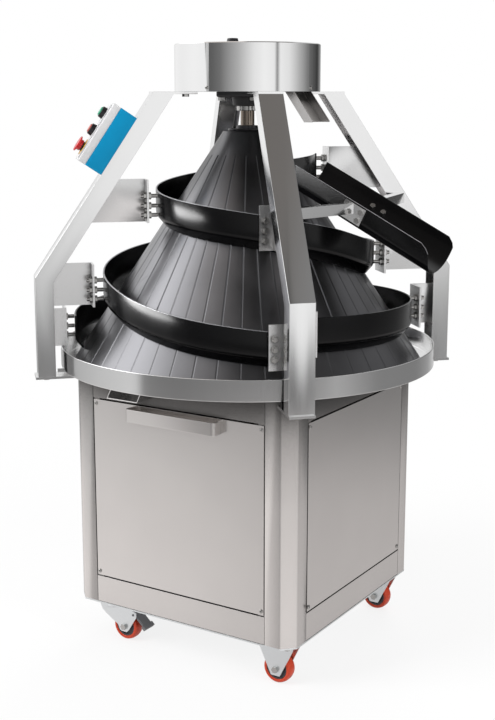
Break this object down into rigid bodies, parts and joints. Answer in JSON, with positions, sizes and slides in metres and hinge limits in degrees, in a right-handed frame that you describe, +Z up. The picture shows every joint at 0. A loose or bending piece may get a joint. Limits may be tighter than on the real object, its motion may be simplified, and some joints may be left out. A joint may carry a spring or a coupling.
{
  "type": "conical dough rounder",
  "caption": "Bakery dough rounder: a grooved cone turns inside a spiral guide on bent legs over a round tray, on a steel cabinet with casters, with drum, chute and control box.",
  "frame": {"origin": "on the floor under the cone's axis", "axes": "+Z up along the cone's axis, -Y towards the panel with the handle, +X towards the discharge chute"},
  "size_m": [1.016, 0.96, 1.537],
  "materials": {
    "stainless_sheet": "satin stainless sheet",
    "drum_steel": "polished stainless sheet",
    "zinc_steel": "zinc plated",
    "fastener_steel": "bright",
    "shaft_steel": "turned",
    "cone_coating": "dark grey non-stick coating, satin",
    "guide_coating": "black non-stick coating, glossy",
    "cast_aluminium": "as cast",
    "bearing_iron": "black paint",
    "pulley_iron": "machined",
    "motor_paint": "semi-gloss",
    "belt_rubber": "matte",
    "box_plastic": "moulded",
    "lid_plastic": "moulded",
    "black_plastic": "moulded",
    "green_plastic": "moulded",
    "pale_red_plastic": "moulded",
    "red_plastic": "moulded",
    "yellow_plastic": "moulded",
    "hub_plastic": "moulded",
    "tread_polyurethane": "smooth",
    "pedal_plastic": "moulded"
  },
  "bodies": {
    "cabinet": {"base_plate": "zinc_steel", "corner_posts": "stainless_sheet", "cabinet_rails": "stainless_sheet", "top_plate": "zinc_steel", "front_panel": "stainless_sheet", "side_panels": "stainless_sheet", "front_handle": "stainless_sheet", "cover_screws": "fastener_steel", "leg_front_right": "stainless_sheet", "leg_back_right": "stainless_sheet", "leg_back_left": "stainless_sheet", "leg_front_left": "stainless_sheet", "leg_feet": "stainless_sheet", "frame_bolts": "fastener_steel", "tray": "stainless_sheet", "tray_spout": "stainless_sheet", "lower_bearing": "bearing_iron", "upper_bearing": "bearing_iron", "drum_base": "zinc_steel", "drum_cover": "drum_steel", "drum_knob": "black_plastic", "flour_chute": "stainless_sheet", "guide_upper": "guide_coating", "guide_lower": "guide_coating", "guide_brackets": "stainless_sheet", "guide_bolts": "fastener_steel", "discharge_chute": "guide_coating", "chute_arms": "stainless_sheet", "control_box": "box_plastic", "control_lid": "lid_plastic", "button_bezels": "black_plastic", "stop_collar": "yellow_plastic", "motor": "motor_paint", "gearbox": "cast_aluminium", "drive_belt": "belt_rubber", "caster_plates": "zinc_steel", "rigid_forks": "zinc_steel", "rigid_axles": "fastener_steel"},
    "rotor": {"main_shaft": "shaft_steel", "cone": "cone_coating", "cone_spider": "cast_aluminium", "cone_pulley": "pulley_iron"},
    "drive": {"drive_pulley": "pulley_iron"},
    "start": {"start_button": "green_plastic"},
    "stop": {"stop_button": "pale_red_plastic"},
    "mushroom": {"stop_mushroom": "red_plastic"},
    "swivel_front_left": {"fork_front_left": "zinc_steel", "axle_front_left": "fastener_steel"},
    "swivel_back_left": {"fork_back_left": "zinc_steel", "axle_back_left": "fastener_steel"},
    "brake_front_left": {"pedal_front_left": "pedal_plastic"},
    "brake_back_left": {"pedal_back_left": "pedal_plastic"},
    "wheel_front_right": {"hub_front_right": "hub_plastic", "tread_front_right": "tread_polyurethane"},
    "wheel_back_right": {"hub_back_right": "hub_plastic", "tread_back_right": "tread_polyurethane"},
    "wheel_front_left": {"hub_front_left": "hub_plastic", "tread_front_left": "tread_polyurethane"},
    "wheel_back_left": {"hub_back_left": "hub_plastic", "tread_back_left": "tread_polyurethane"}
  },
  "joints": [
    {"name": "cone_spin", "type": "hinge", "parent": "cabinet", "child": "rotor", "pos_m": [0, 0, 0.9], "axis": [0, 0, 1], "continuous": true},
    {"name": "drive_pulley_spin", "type": "hinge", "parent": "cabinet", "child": "drive", "pos_m": [-0.215, 0, 0.35], "axis": [0, 0, 1], "continuous": true},
    {"name": "start_push", "type": "slide", "parent": "cabinet", "child": "start", "axis": [0.5876, 0.5876, -0.5563], "range_m": [0, 0.003], "stiffness_N_per_m": 400, "springref_m": -0.003},
    {"name": "stop_push", "type": "slide", "parent": "cabinet", "child": "stop", "axis": [0.5876, 0.5876, -0.5563], "range_m": [0, 0.003], "stiffness_N_per_m": 400, "springref_m": -0.003},
    {"name": "mushroom_push", "type": "slide", "parent": "cabinet", "child": "mushroom", "axis": [0.5876, 0.5876, -0.5563], "range_m": [0, 0.004], "stiffness_N_per_m": 500, "springref_m": -0.004},
    {"name": "swivel_front_left_turn", "type": "hinge", "parent": "cabinet", "child": "swivel_front_left", "pos_m": [-0.24, -0.262, 0.093], "axis": [0, 0, 1], "continuous": true},
    {"name": "wheel_front_left_roll", "type": "hinge", "parent": "swivel_front_left", "child": "wheel_front_left", "pos_m": [-0.203, -0.262, 0.0375], "axis": [0, 1, 0], "continuous": true},
    {"name": "brake_front_left_tilt", "type": "hinge", "parent": "swivel_front_left", "child": "brake_front_left", "pos_m": [-0.173, -0.262, 0.0755], "axis": [0, 1, 0], "range_deg": [0, 14]},
    {"name": "wheel_front_right_roll", "type": "hinge", "parent": "cabinet", "child": "wheel_front_right", "pos_m": [0.259, -0.265, 0.0375], "axis": [0, 1, 0], "continuous": true},
    {"name": "swivel_back_left_turn", "type": "hinge", "parent": "cabinet", "child": "swivel_back_left", "pos_m": [-0.24, 0.262, 0.093], "axis": [0, 0, 1], "continuous": true},
    {"name": "wheel_back_left_roll", "type": "hinge", "parent": "swivel_back_left", "child": "wheel_back_left", "pos_m": [-0.203, 0.262, 0.0375], "axis": [0, 1, 0], "continuous": true},
    {"name": "brake_back_left_tilt", "type": "hinge", "parent": "swivel_back_left", "child": "brake_back_left", "pos_m": [-0.173, 0.262, 0.0755], "axis": [0, 1, 0], "range_deg": [0, 14]},
    {"name": "wheel_back_right_roll", "type": "hinge", "parent": "cabinet", "child": "wheel_back_right", "pos_m": [0.259, 0.265, 0.0375], "axis": [0, 1, 0], "continuous": true}
  ],
  "couplings": [
    {"joint": "drive_pulley_spin", "follows": "cone_spin", "ratio": 3}
  ]
}
